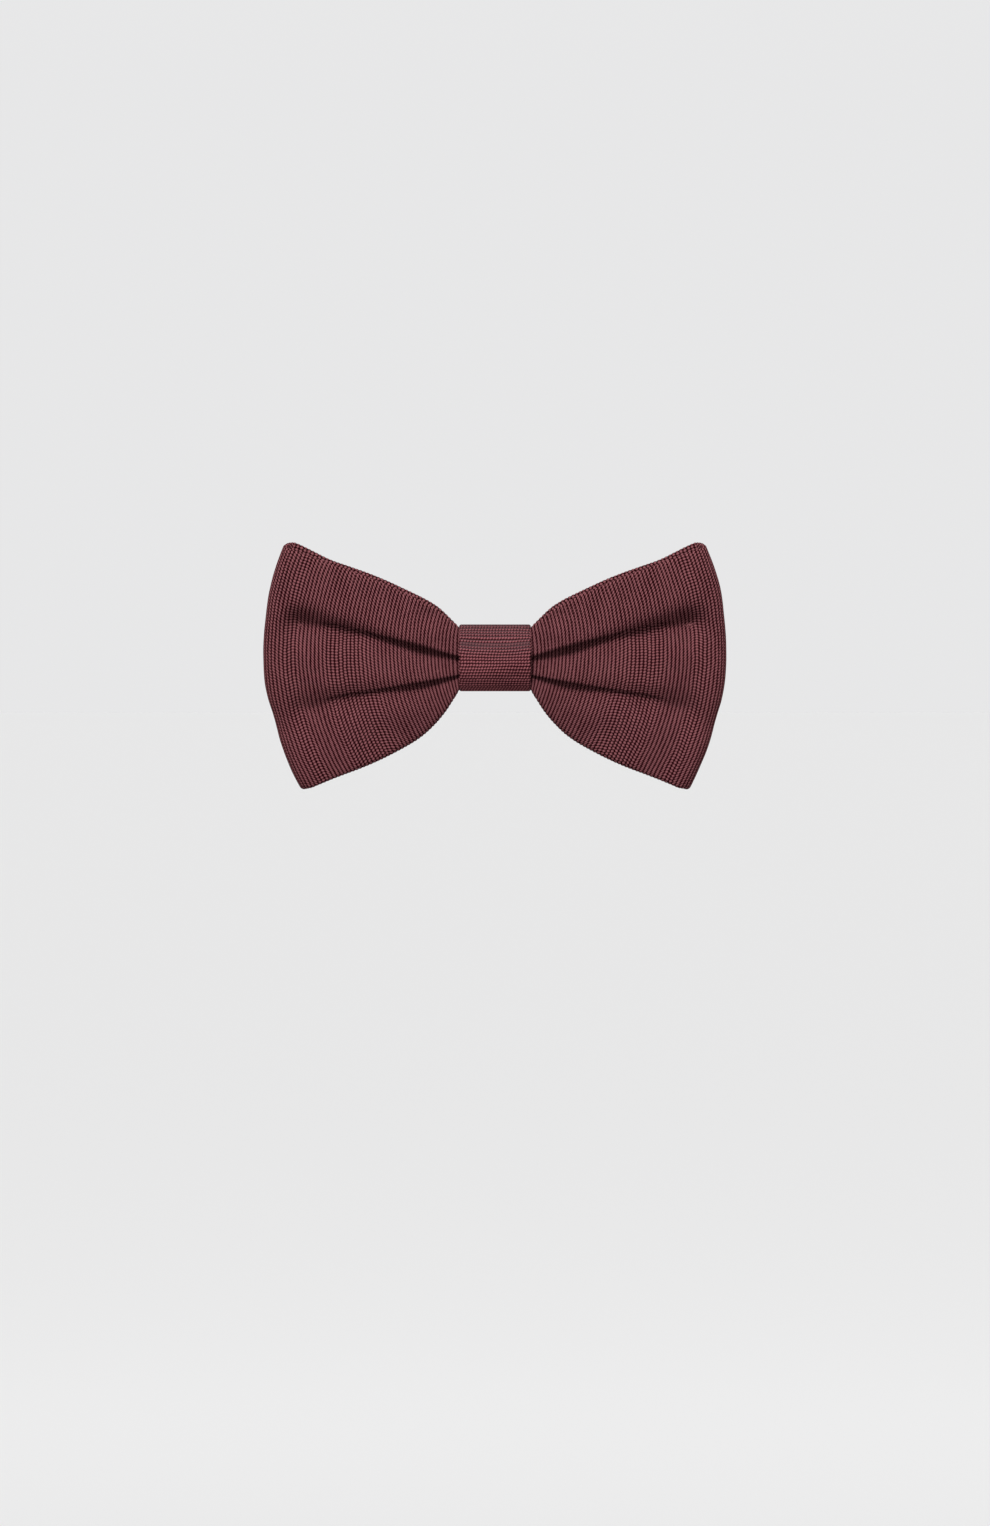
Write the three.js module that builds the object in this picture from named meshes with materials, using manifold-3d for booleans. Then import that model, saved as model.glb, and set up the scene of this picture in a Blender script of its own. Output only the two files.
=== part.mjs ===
// Pre-tied bow tie in ribbed silk: pleated wings, knot wrap, adjustable neckband and hook clasp.
// Millimetres. +Z is up, the bow faces -Y, and the origin is the centre of the knot's flat back.
import * as THREE from "three";
import { mergeVertices } from "three/addons/utils/BufferGeometryUtils.js";
import Module from "manifold-3d";

const wasm = await Module();
wasm.setup();

// Knot
const KNOT_W = 18.8; // along X
const KNOT_H = 17.5; // along Z
const KNOT_D = 15.7; // along Y, back face at y = 0
const WRAP_T = 1.0;
const KNOT_LINING_T = 0.5;
const CLEARANCE = 0.3;

// Bow strip: cloth, interlining, cloth
const STRIP_T = 1.8;
const CLOTH_T = 0.45;
const LINING_T = 0.6;
const LINING_INSET = 0.7; // interlining's edge behind the strip's edge
const WING_START_X = 10.9;
const WING_MID_Y = -9.2; // mid-plane of the wing's two layers at the knot
const WING_SWEEP_BACK = 1.2; // how far the outer end stands back
const LAYER_GAP_KNOT = 5.2; // between the two layers' mid-surfaces
const LAYER_GAP_TIP = 4.4;
const BACK_LAYER_RISE = 1.2; // the back layer sits this much higher
const PLEAT_STEP = 1.25;
const TIP_BULGE = 7.4;
const CROWN = 0.8; // the layer's top and bottom edges stand back this much
// Front layer's edges, (x, z) from the knot outward
const TOP_EDGE = [
  [WING_START_X, 9.0], [17.1, 13.2], [25, 17.8], [33, 21.3], [44.9, 25.7], [52.2, 28.4],
];
const BOTTOM_EDGE = [
  [WING_START_X, -11.2], [17.1, -18.7], [25, -23.8], [33, -27.5], [44.9, -32.3], [48.2, -33.6],
];

// Neckband
const BAND_H = 14;
const BAND_T = 1.2;
const BAND_CLOTH_T = 0.35;
const BAND_LINING_T = 0.3;
const BAND_FRONT_Y = -1.9; // centreline where it passes through the knot
const BAND_STRAIGHT = 11; // half length of the straight run behind the knot
const FRONT_R = 46;
const NECK_R = BAND_STRAIGHT + FRONT_R;
const NECK_Y = 70; // centre of the back half circle
const HOOK_END_AT = -66; // degrees round the back, from +Y towards +X
const EYE_END_AT = 42;
const END_GAP = 0.8; // each side of a bend line

// Clasp hardware
const PLATE_T = 1.0;
const RAIL_IN = 7.3;
const RAIL_OUT = 8.75;
const BAR_W = 1.4;
const HOOK_BAR_AT = -10;
const EYE_BAR_AT = 9.1; // x of the eye's strap bar
const SLIDER_AT = -42;
const TURN_R = 1.55; // strap centreline round a bar

const SILK = 0x5e3336;
const silk = () => new THREE.MeshStandardMaterial({ color: SILK, roughness: 0.62, metalness: 0 });
const lining = () => new THREE.MeshStandardMaterial({ color: 0xd9d2c4, roughness: 0.9, metalness: 0 });
const thread = () => new THREE.MeshStandardMaterial({ color: 0x4c262a, roughness: 0.7, metalness: 0 });
const nickel = () => new THREE.MeshStandardMaterial({ color: 0xbfc2c4, roughness: 0.25, metalness: 1 });

const rad = THREE.MathUtils.degToRad;
const lerp = THREE.MathUtils.lerp;
const smooth = (t) => THREE.MathUtils.smoothstep(t, 0, 1);
const V = (x, y, z) => new THREE.Vector3(x, y, z);

// ---- solids ----

function toManifold(geometry) {
  const g = geometry.index ? geometry.toNonIndexed() : geometry.clone();
  g.deleteAttribute("normal");
  g.deleteAttribute("uv");
  const m = mergeVertices(g, 1e-5);
  return new wasm.Manifold(new wasm.Mesh({
    numProp: 3,
    vertProperties: new Float32Array(m.attributes.position.array),
    triVerts: new Uint32Array(m.index.array),
  }));
}

function toGeometry(manifold) {
  const mesh = manifold.getMesh();
  const g = new THREE.BufferGeometry();
  g.setAttribute("position", new THREE.BufferAttribute(new Float32Array(mesh.vertProperties), 3));
  g.setIndex(new THREE.BufferAttribute(new Uint32Array(mesh.triVerts), 1));
  g.computeVertexNormals();
  return g;
}

// Closed slab between two grids of points, a[i][j] and b[i][j].
function slab(a, b) {
  const nu = a.length - 1;
  const nv = a[0].length - 1;
  const points = [...a.flat(), ...b.flat()];
  const A = (i, j) => i * (nv + 1) + j;
  const B = (i, j) => (nu + 1) * (nv + 1) + A(i, j);
  const tris = [];
  const quad = (p, q, r, s) => tris.push(p, q, r, p, r, s);
  for (let i = 0; i < nu; i++) {
    for (let j = 0; j < nv; j++) {
      quad(A(i, j), A(i + 1, j), A(i + 1, j + 1), A(i, j + 1));
      quad(B(i, j), B(i, j + 1), B(i + 1, j + 1), B(i + 1, j));
    }
    quad(A(i + 1, 0), A(i, 0), B(i, 0), B(i + 1, 0));
    quad(A(i, nv), A(i + 1, nv), B(i + 1, nv), B(i, nv));
  }
  for (let j = 0; j < nv; j++) {
    quad(A(0, j), A(0, j + 1), B(0, j + 1), B(0, j));
    quad(A(nu, j + 1), A(nu, j), B(nu, j), B(nu, j + 1));
  }
  let volume = 0;
  for (let t = 0; t < tris.length; t += 3) {
    const [p, q, r] = [points[tris[t]], points[tris[t + 1]], points[tris[t + 2]]];
    volume += p.dot(q.clone().cross(r));
  }
  if (volume < 0) tris.reverse();
  const g = new THREE.BufferGeometry();
  const positions = new Float32Array(points.flatMap((p) => p.toArray()));
  g.setAttribute("position", new THREE.BufferAttribute(positions, 3));
  g.setIndex(tris);
  return g;
}

// Prism of a closed outline. plane "yz" runs along X, "xy" along Z, "xz" along Y.
function prism(outline, plane, low, high, holes = []) {
  const points = (list) => list.map(([p, q]) => new THREE.Vector2(p, q));
  const shape = new THREE.Shape(points(outline));
  for (const hole of holes) shape.holes.push(new THREE.Path(points(hole)));
  const g = new THREE.ExtrudeGeometry(shape, { depth: high - low, bevelEnabled: false, steps: 1 });
  g.translate(0, 0, low);
  if (plane === "yz") g.applyMatrix4(new THREE.Matrix4().makeBasis(V(0, 1, 0), V(0, 0, 1), V(1, 0, 0)));
  if (plane === "xz") {
    g.applyMatrix4(new THREE.Matrix4().makeBasis(V(1, 0, 0), V(0, 0, 1), V(0, -1, 0)));
  }
  return toManifold(g);
}

// Rounded rectangle from (p0, q0) to (p1, q1); radii for the low-p and the high-p corners.
function roundedRect(p0, q0, p1, q1, rLow, rHigh, segments = 6) {
  const out = [];
  const corner = (cp, cq, r, from) => {
    for (let k = 0; k <= segments; k++) {
      const a = rad(from + (90 * k) / segments);
      out.push([cp + r * Math.cos(a), cq + r * Math.sin(a)]);
    }
  };
  corner(p1 - rHigh, q1 - rHigh, rHigh, 0);
  corner(p0 + rLow, q1 - rLow, rLow, 90);
  corner(p0 + rLow, q0 + rLow, rLow, 180);
  corner(p1 - rHigh, q0 + rHigh, rHigh, 270);
  return out;
}

const group = new THREE.Group();
function add(name, solid, material) {
  const mesh = new THREE.Mesh(solid.isBufferGeometry ? solid : toGeometry(solid), material);
  mesh.name = name;
  group.add(mesh);
}

// ---- knot ----

const wrapSection = (inset, segments = 7) => roundedRect(
  -KNOT_D + inset, -KNOT_H / 2 + inset, -inset, KNOT_H / 2 - inset,
  Math.max(4.2 - inset, 0.4), Math.max(2 - inset, 0.3), segments,
);
const wrapTube = prism(wrapSection(0), "yz", -KNOT_W / 2, KNOT_W / 2)
  .subtract(prism(wrapSection(WRAP_T), "yz", -KNOT_W / 2 - 1, KNOT_W / 2 + 1));
const STITCH_Z = -4.6;
const stitchGroove = prism([[-7.6, STITCH_Z - 0.6], [7.6, STITCH_Z - 0.6], [7.6, STITCH_Z + 0.6],
  [-7.6, STITCH_Z + 0.6]], "xz", -1, 0.55);
add("knot_wrap", wrapTube.subtract(stitchGroove), silk());
add("wrap_closing_stitch", new THREE.BoxGeometry(14.6, 0.4, 0.7).translate(0, -0.27, STITCH_Z), thread());

// The interlining is a C round the front, open at the back where the neckband passes.
const liningOut = WRAP_T + CLEARANCE;
const linerCut = prism([[-6, -20], [5, -20], [5, 20], [-6, 20]], "yz", -20, 20);
add("knot_interlining", prism(wrapSection(liningOut), "yz", -KNOT_W / 2 + 0.6, KNOT_W / 2 - 0.6)
  .subtract(prism(wrapSection(liningOut + KNOT_LINING_T), "yz", -20, 20)).subtract(linerCut), lining());

// Gathered middle of the bow strip: pleat folds show as ridges along X on the front and the back.
const CORE_FRONT = -KNOT_D + liningOut + KNOT_LINING_T + CLEARANCE;
const CORE_BACK = BAND_FRONT_Y - BAND_T / 2 - 0.4;
const CORE_TOP = 6.6;
function coreOutline(depth) {
  const f = CORE_FRONT + depth;
  const b = CORE_BACK - depth;
  const h = CORE_TOP - depth;
  return [
    [f + 2.2, h], [f + 0.7, h - 0.7], [f, h - 2.2], [f, 0.6], [f + 0.9, 0], [f + 0.9, -3.4],
    [f + 1.8, -4.0], [f + 1.9, -h + 1.2], [f + 2.8, -h], [b - 0.6, -h], [b, -h + 0.8], [b, -0.4],
    [b - 0.5, 0.1], [b - 0.5, 3.6], [b - 1.0, 4.1], [b - 1.1, h - 0.6], [b - 1.7, h],
  ].reverse();
}
const NECK_HALF = 2.4;
const BINDING_T = 0.5;
const core = prism(coreOutline(0), "yz", -KNOT_W / 2 + 0.1, KNOT_W / 2 - 0.1)
  .subtract(prism([[-30, -20], [30, -20], [30, 20], [-30, 20]], "yz", -NECK_HALF, NECK_HALF))
  .add(prism(coreOutline(1.1), "yz", -NECK_HALF - 0.5, NECK_HALF + 0.5));
add("pleat_core", core, silk());
const bindingRing = (inset, x) => prism(roundedRect(CORE_FRONT + inset, -CORE_TOP + inset,
  CORE_BACK - inset, CORE_TOP - inset, 1.2, 1.0, 3), "yz", -x, x);
add("gather_binding", bindingRing(0.3, NECK_HALF - 0.3)
  .subtract(bindingRing(0.3 + BINDING_T, NECK_HALF)), thread());

// ---- wings ----

const edgeCurve = (points) => new THREE.SplineCurve(points.map(([x, z]) => new THREE.Vector2(x, z)));
const topEdge = edgeCurve(TOP_EDGE);
const bottomEdge = edgeCurve(BOTTOM_EDGE);

const upperPleat = (s) => lerp(0.07, 0.4, s);
const lowerPleat = (s) => lerp(-0.38, -0.33, s);

// Front layer's mid-surface of the right wing: s from knot to outer fold, v from bottom to top.
function frontLayer(s, v) {
  const t = topEdge.getPointAt(Math.min(s, 1));
  const b = bottomEdge.getPointAt(Math.min(s, 1));
  const bulge = TIP_BULGE * (1 - v * v) * Math.pow(s, 0.6);
  const h = (v + 1) / 2;
  const fade = PLEAT_STEP * Math.pow(Math.max(1 - s / 0.9, 0), 1.1);
  const width = lerp(0.1, 0.16, s);
  const step = smooth((lowerPleat(s) - v) / width + 0.5)
    - smooth((v - upperPleat(s)) / width + 0.5);
  const crown = CROWN * v * v * Math.sin(Math.PI * Math.min(s, 1) * 0.8);
  const sweep = WING_SWEEP_BACK * s * s;
  const y = WING_MID_Y - lerp(LAYER_GAP_KNOT, LAYER_GAP_TIP, s) / 2 + fade * step + crown + sweep;
  return V(lerp(b.x, t.x, h) + bulge, y, lerp(b.y, t.y, h));
}

const FRONT_SHARE = 0.44; // of the loop's stations; the outer fold takes what the two layers leave
function loopSurface(u, v) {
  const s = Math.min(u, 1 - u) / FRONT_SHARE;
  const front = frontLayer(Math.min(s, 1), v);
  const gap = lerp(LAYER_GAP_KNOT, LAYER_GAP_TIP, Math.min(s, 1));
  const rise = BACK_LAYER_RISE;
  if (u <= FRONT_SHARE) return front;
  if (u >= 1 - FRONT_SHARE) return front.add(V(0, gap, rise));
  const before = frontLayer(0.96, v);
  const out = V(front.x - before.x, 0, front.z - before.z).normalize();
  const a = (Math.PI * (u - FRONT_SHARE)) / (1 - 2 * FRONT_SHARE);
  const r = gap / 2;
  return front.add(V(0, r - r * Math.cos(a), (rise * (1 - Math.cos(a))) / 2))
    .addScaledVector(out, r * Math.sin(a));
}

function loopStations() {
  const us = [];
  for (let k = 0; k <= 13; k++) us.push((FRONT_SHARE * k) / 13);
  for (let k = 1; k < 8; k++) us.push(FRONT_SHARE + ((1 - 2 * FRONT_SHARE) * k) / 8);
  for (let k = 0; k <= 13; k++) us.push(1 - FRONT_SHARE + (FRONT_SHARE * k) / 13);
  return us;
}

// Columns follow the two pleat lines.
function columns(s) {
  const w = lerp(0.1, 0.16, s) / 2;
  const [lo, up] = [lowerPleat(s), upperPleat(s)];
  return [-1, -0.68, lo - w, lo, lo + w, (lo + up) / 2, up - w, up, up + w, 0.72, 1];
}

function wingSlab(offset, inset, runPast, mirror) {
  const us = loopStations();
  const rows = us.map((u) => {
    const s = Math.min(Math.min(u, 1 - u) / FRONT_SHARE, 1);
    return columns(s).map((v) => {
      const e = 1e-3;
      const p = loopSurface(u, v);
      const du = loopSurface(Math.min(u + e, 1), v).sub(loopSurface(Math.max(u - e, 0), v));
      const dv = loopSurface(u, Math.min(v + e, 1)).sub(loopSurface(u, Math.max(v - e, -1)));
      const normal = du.clone().cross(dv).normalize();
      if (Math.abs(v) === 1) p.addScaledVector(dv.clone().normalize(), -Math.sign(v) * inset);
      return { p, normal };
    });
  });
  const grid = (side) => {
    const g = rows.map((row) => row.map(
      ({ p, normal }) => p.clone().addScaledVector(normal, side * offset),
    ));
    if (runPast !== 0) {
      g.unshift(g[0].map((p) => p.clone().add(V(-runPast, 0, 0))));
      g.push(g[g.length - 1].map((p) => p.clone().add(V(-runPast, 0, 0))));
    }
    return g.map((row) => row.map((p) => V(mirror * p.x, p.y, p.z)));
  };
  return toManifold(slab(grid(1), grid(-1)));
}

for (const [name, mirror] of [["left", -1], ["right", 1]]) {
  const outer = wingSlab(STRIP_T / 2, 0, 0, mirror);
  const cavity = wingSlab(STRIP_T / 2 - CLOTH_T, CLOTH_T, 2, mirror);
  add(`${name}_wing_shell`, outer.subtract(cavity), silk());
  add(`${name}_wing_interlining`, wingSlab(LINING_T / 2, LINING_INSET, 0, mirror), lining());
}

// ---- neckband ----

// Point on the back half circle; radial offset n is outward.
const round = (deg, n = 0) => [
  (NECK_R + n) * Math.sin(rad(deg)), NECK_Y + (NECK_R + n) * Math.cos(rad(deg)),
];
const arc = (from, to, steps, f) => (
  Array.from({ length: steps + 1 }, (_, k) => f(lerp(from, to, k / steps)))
);
const gapDeg = THREE.MathUtils.radToDeg(END_GAP / NECK_R);

const frontCentreY = BAND_FRONT_Y + FRONT_R;
const bandPath = [
  ...arc(HOOK_END_AT - gapDeg, -90, 6, (a) => round(a)),
  ...arc(90, 0, 14, (a) => [
    -BAND_STRAIGHT - FRONT_R * Math.sin(rad(a)), frontCentreY - FRONT_R * Math.cos(rad(a)),
  ]),
  ...arc(0, 90, 14, (a) => [
    BAND_STRAIGHT + FRONT_R * Math.sin(rad(a)), frontCentreY - FRONT_R * Math.cos(rad(a)),
  ]),
  ...arc(90, EYE_END_AT + gapDeg, 10, (a) => round(a)),
];

function strapSlab(path, halfT, halfH, runPast = 0) {
  const pts = path.map(([x, y]) => V(x, y, 0));
  const tangents = pts.map((p, i) => pts[Math.min(i + 1, pts.length - 1)].clone()
    .sub(pts[Math.max(i - 1, 0)]).normalize());
  if (runPast > 0) {
    pts.unshift(pts[0].clone().addScaledVector(tangents[0], -runPast));
    tangents.unshift(tangents[0]);
    pts.push(pts[pts.length - 1].clone().addScaledVector(tangents[tangents.length - 1], runPast));
    tangents.push(tangents[tangents.length - 1]);
  } else if (runPast < 0) {
    pts[0].addScaledVector(tangents[0], -runPast);
    pts[pts.length - 1].addScaledVector(tangents[tangents.length - 1], runPast);
  }
  const grid = (side) => pts.map((p, i) => {
    const n = V(-tangents[i].y, tangents[i].x, 0).multiplyScalar(side * halfT);
    return [p.clone().add(n).add(V(0, 0, -halfH)), p.clone().add(n).add(V(0, 0, halfH))];
  });
  return toManifold(slab(grid(1), grid(-1)));
}

function strap(shellName, liningName, path) {
  const cavity = strapSlab(path, BAND_T / 2 - BAND_CLOTH_T, BAND_H / 2 - BAND_CLOTH_T, 1);
  add(shellName, strapSlab(path, BAND_T / 2, BAND_H / 2).subtract(cavity), silk());
  add(liningName, strapSlab(path, BAND_LINING_T / 2, BAND_H / 2 - 0.6, -0.3), lining());
}
strap("neckband_shell", "neckband_interlining", bandPath);

// ---- adjustable end: strap, turn round the hook's bar, tail back to the slider ----

const [hookBarX, hookBarY] = round(HOOK_BAR_AT);
const turn = (cx, cy, from, to) => arc(from, to, 10, (a) => [
  cx + TURN_R * Math.cos(rad(a)), cy + TURN_R * Math.sin(rad(a)),
]);
const hookTangent = -HOOK_BAR_AT; // direction of travel at the hook bar, degrees from +X
const strapEndPath = [
  ...arc(HOOK_END_AT + gapDeg, HOOK_BAR_AT - 5, 22, (a) => round(a)),
  ...turn(hookBarX, hookBarY, 90 + hookTangent, -90 + hookTangent),
];
const last = strapEndPath[strapEndPath.length - 1];
strapEndPath.push([last[0] - 2.6 * Math.cos(rad(hookTangent)), last[1] - 2.6 * Math.sin(rad(hookTangent))]);
strap("strap_end_shell", "strap_end_interlining", strapEndPath);

// Radial levels at the slider, from the strap's centreline
const SIDE_BAR_N = [0.9, 1.9];
const LEG_N = -1.5;
const CENTRE_BAR_N = [-3.3, -2.3];
const TAIL_N = -4.1;
const atSlider = (x, n) => {
  const [cx, cy] = round(SLIDER_AT);
  const a = rad(SLIDER_AT);
  return [cx + x * Math.cos(a) + n * Math.sin(a), cy - x * Math.sin(a) + n * Math.cos(a)];
};
const tailStart = strapEndPath[strapEndPath.length - 1];
const tailPath = [
  [tailStart[0] - 0.35 * Math.cos(rad(hookTangent)), tailStart[1] - 0.35 * Math.sin(rad(hookTangent))],
  ...arc(HOOK_BAR_AT - 9, SLIDER_AT + 4, 8, (a) => round(a, lerp(-3.35, TAIL_N,
    (HOOK_BAR_AT - 9 - a) / (HOOK_BAR_AT - 9 - SLIDER_AT - 4)))),
  atSlider(0.2, TAIL_N),
  ...arc(-90, -270, 8, (a) => atSlider(-0.5 + 1.3 * Math.cos(rad(a)), (TAIL_N + LEG_N) / 2
    + 1.3 * Math.sin(rad(a)))),
  atSlider(3.6, LEG_N),
];
add("strap_tail", strapSlab(tailPath, 0.55, BAND_H / 2), silk());

function placed(solid, x, y, deg) {
  return solid.rotate([0, 0, deg]).translate([x, y, 0]);
}
const box = (x0, x1, y0, y1, z0, z1) => toManifold(new THREE.BoxGeometry(x1 - x0, y1 - y0, z1 - z0)
  .translate((x0 + x1) / 2, (y0 + y1) / 2, (z0 + z1) / 2));

// Slider in its own frame: x along the strap, y outward.
const RAIL_LOW_Y = CENTRE_BAR_N[0];
let slider = box(-5.5, 5.5, RAIL_LOW_Y, SIDE_BAR_N[1], RAIL_IN, RAIL_OUT);
slider = slider.add(box(-5.5, 5.5, RAIL_LOW_Y, SIDE_BAR_N[1], -RAIL_OUT, -RAIL_IN));
for (const x of [-4.8, 4.8]) {
  slider = slider.add(box(x - BAR_W / 2, x + BAR_W / 2, SIDE_BAR_N[0], SIDE_BAR_N[1], -RAIL_OUT, RAIL_OUT));
}
slider = slider.add(box(-0.8, 0.8, CENTRE_BAR_N[0], CENTRE_BAR_N[1], -RAIL_OUT, RAIL_OUT));
// The rails are cranked: cut away below the side bars and above the centre bar's ends.
const crank = [[-6, -4], [-2.2, -4], [-3.9, SIDE_BAR_N[0]], [-6, SIDE_BAR_N[0]]];
for (const side of [-1, 1]) {
  const wedge = crank.map(([x, y]) => [side * x, y]);
  slider = slider.subtract(prism(side > 0 ? wedge : wedge.reverse(), "xy", -12, 12));
}
slider = slider.subtract(box(-1.6, 1.6, 0.95, 4, -12, 12));
const [sliderX, sliderY] = round(SLIDER_AT);
add("length_slider", placed(slider, sliderX, sliderY, -SLIDER_AT), nickel());
// Sewn between the tail and its folded leg, beside the centre bar
const tack = box(1.15, 2.25, -2.95, -2.2, -5.2, 5.2);
add("tail_bar_tack", placed(tack, sliderX, sliderY, -SLIDER_AT), thread());

// ---- hook ----

// Side profile (x, y) of the stamping: flat frame, outward joggle, tongue, inward lip.
const HALF_PLATE = PLATE_T / 2;
const LIP_X = 11.7; // inner face of the lip, from the strap bar
const LIP_TOP = 2.3; // outer face of the tongue, from the plate's mid-plane
const hookProfile = [
  [-BAR_W / 2, -HALF_PLATE], [5.6, -HALF_PLATE], [7.2, LIP_TOP - PLATE_T], [LIP_X, LIP_TOP - PLATE_T],
  [LIP_X, -1.0], [LIP_X + PLATE_T, -1.0], [LIP_X + PLATE_T, LIP_TOP - 0.5], [LIP_X + PLATE_T - 0.5, LIP_TOP],
  [6.9, LIP_TOP], [5.3, HALF_PLATE], [-BAR_W / 2, HALF_PLATE],
];
const CORNER_CUT = 1.0;
const TONGUE = 3.5; // half width
const hookHalfPlan = [
  [-BAR_W / 2, RAIL_OUT - CORNER_CUT], [-BAR_W / 2 + CORNER_CUT, RAIL_OUT], [4.2, RAIL_OUT],
  [5.2, RAIL_OUT - CORNER_CUT], [5.9, TONGUE + 0.4], [6.6, TONGUE], [13, TONGUE],
];
const hookPlan = [...hookHalfPlan.map(([x, z]) => [x, -z]), ...hookHalfPlan.slice().reverse()];
const hookSlot = [[BAR_W / 2, -RAIL_IN], [3.2, -RAIL_IN], [3.2, RAIL_IN], [BAR_W / 2, RAIL_IN]];
const hookSolid = prism(hookProfile, "xy", -RAIL_OUT, RAIL_OUT)
  .intersect(prism(hookPlan, "xz", -6, 6, [hookSlot.reverse()]));
add("clasp_hook", placed(hookSolid, hookBarX, hookBarY, 0), nickel());

// ---- eye and fixed end ----

const eyeOutline = roundedRect(-1.4, -RAIL_OUT, EYE_BAR_AT + BAR_W / 2, RAIL_OUT, 1.2, 1.2, 4);
const eyeHole = roundedRect(0, -RAIL_IN, EYE_BAR_AT - BAR_W / 2, RAIL_IN, 0.5, 0.5, 3).reverse();
const eyeSolid = prism(eyeOutline, "xz", -HALF_PLATE, HALF_PLATE, [eyeHole]);
add("clasp_eye", eyeSolid.translate([0, hookBarY, 0]), nickel());

// The fixed strap loops round the eye's bar and is tacked to itself inside.
const eyeTangent = THREE.MathUtils.radToDeg(Math.asin(EYE_BAR_AT / NECK_R));
const eyeStrapPath = [
  ...arc(EYE_END_AT - gapDeg, eyeTangent + 5, 14, (a) => round(a)),
  ...arc(90 - eyeTangent, 270 - eyeTangent, 10, (a) => [
    EYE_BAR_AT + TURN_R * Math.cos(rad(a)), hookBarY + TURN_R * Math.sin(rad(a)),
  ]),
  ...arc(eyeTangent + 4, eyeTangent + 15, 4, (a) => round(a, -2.75)),
];
strap("fixed_end_shell", "fixed_end_interlining", eyeStrapPath);
const tackAt = eyeTangent + 10;
const [tackX, tackY] = round(tackAt, -1.38);
add("eye_loop_tack", placed(box(-2.2, 2.2, -0.5, 0.5, -5.4, 5.4), tackX, tackY, -tackAt), thread());

export default group;
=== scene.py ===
"""Looks of a pre-tied bow tie in ribbed silk, built round its CAD frame."""
import math

import bpy
import numpy as np
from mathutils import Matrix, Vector


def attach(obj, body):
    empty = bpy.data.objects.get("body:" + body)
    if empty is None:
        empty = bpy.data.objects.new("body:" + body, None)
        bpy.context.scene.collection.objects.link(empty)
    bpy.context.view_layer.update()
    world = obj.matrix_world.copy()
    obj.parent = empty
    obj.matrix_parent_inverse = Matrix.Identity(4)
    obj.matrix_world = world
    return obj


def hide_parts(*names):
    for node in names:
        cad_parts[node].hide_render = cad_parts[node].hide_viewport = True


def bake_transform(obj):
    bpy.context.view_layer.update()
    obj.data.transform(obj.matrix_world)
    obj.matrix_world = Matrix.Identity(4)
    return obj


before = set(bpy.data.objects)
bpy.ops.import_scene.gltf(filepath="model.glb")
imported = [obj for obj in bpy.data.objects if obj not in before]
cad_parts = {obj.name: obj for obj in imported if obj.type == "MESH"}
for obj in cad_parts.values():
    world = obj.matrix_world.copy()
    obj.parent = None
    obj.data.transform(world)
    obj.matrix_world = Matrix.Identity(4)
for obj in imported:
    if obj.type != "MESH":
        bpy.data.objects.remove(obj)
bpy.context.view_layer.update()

MM = 0.001
rng = np.random.default_rng(7)

# ---- cloth, mm ----
RIB = 1.02            # from one rib of the silk to the next
KNOT_RIB = 0.9        # the same on the knot's wrap
RIB_HEIGHT = 0.13     # half of a rib's depth on the wings
KNOT_RIB_HEIGHT = 0.11
BAND_RIB_HEIGHT = 0.05
SAMPLES = 6           # rows of vertices to a rib
KNOT_SAMPLES = 7
BAND_SAMPLES = 4
BEAD = 0.8            # length of one bead of a rib
BEAD_SLANT = 0.45     # of a bead's length, across the rib

# ---- bow, mm, right wing; the left one is its mirror ----
# outlines (x, z) from the knot's side to the outer fold
TOP_EDGE = [(9.3, 7.2), (11.2, 8.8), (17.1, 12.9), (25, 16.8), (33, 20.3), (44.9, 24.6), (53.5, 27.8)]
BOTTOM_EDGE = [(9.3, -7.3), (11.8, -11.0), (14.0, -13.9), (16.8, -16.9), (20.2, -19.9), (25, -22.9),
               (33, -27.0), (45.3, -32.3), (49.0, -33.9)]
TIP_BULGE = 7.05      # of the outer fold between its two corners
STRIP_T = 1.3         # of one layer away from the knot
GATHERED_T = 0.95     # of one layer at the knot, where it is pressed
FOLD_R = 3.0          # sets the cloth's length round the outer fold
BACK_RISE = 0.9       # the back layer's top edge stands this much higher
TIP_RISE = 1.2        # and this much more at the outer fold
STRIP_W = 67.0        # pressed width of the bow strip
WING_LENGTH = 48.6    # along the cloth from knot to outer fold

# ---- pleats, mm; pairs are the values at the knot and at the outer fold ----
UPPER_PLEAT_Z = (0.2, 12.8)
LOWER_PLEAT_Z = (-4.6, -12.2)
FRONT_FACE_Y = (-12.9, -11.2)   # of the front layer's first lobe
BACK_FACE_Y = (-4.4, -5.2)      # of the back layer's first lobe
FRONT_STEP = 1.95     # from the upper lobe back to the middle one
BACK_STEP = 0.5
SECOND_STEP = 0.5     # share of that step from the middle lobe to the lower one
FRONT_TUCKS = (4.6, 3.8)        # most depth of the upper and lower pleat's fold
BACK_TUCKS = (3.6, 3.6)
ROLL_WIDTH = 3.2      # of the rounded free edge of a lobe
SINK_WIDTH = 1.8      # of the groove under it
HOLLOW_DEPTHS = (2.4, 1.6)      # of the hollows past the ends of the upper and lower pleat
HOLLOW_WIDTH = 3.2
HOLLOW_DROP = 2.2     # of a hollow's middle under the pleat's line

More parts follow.
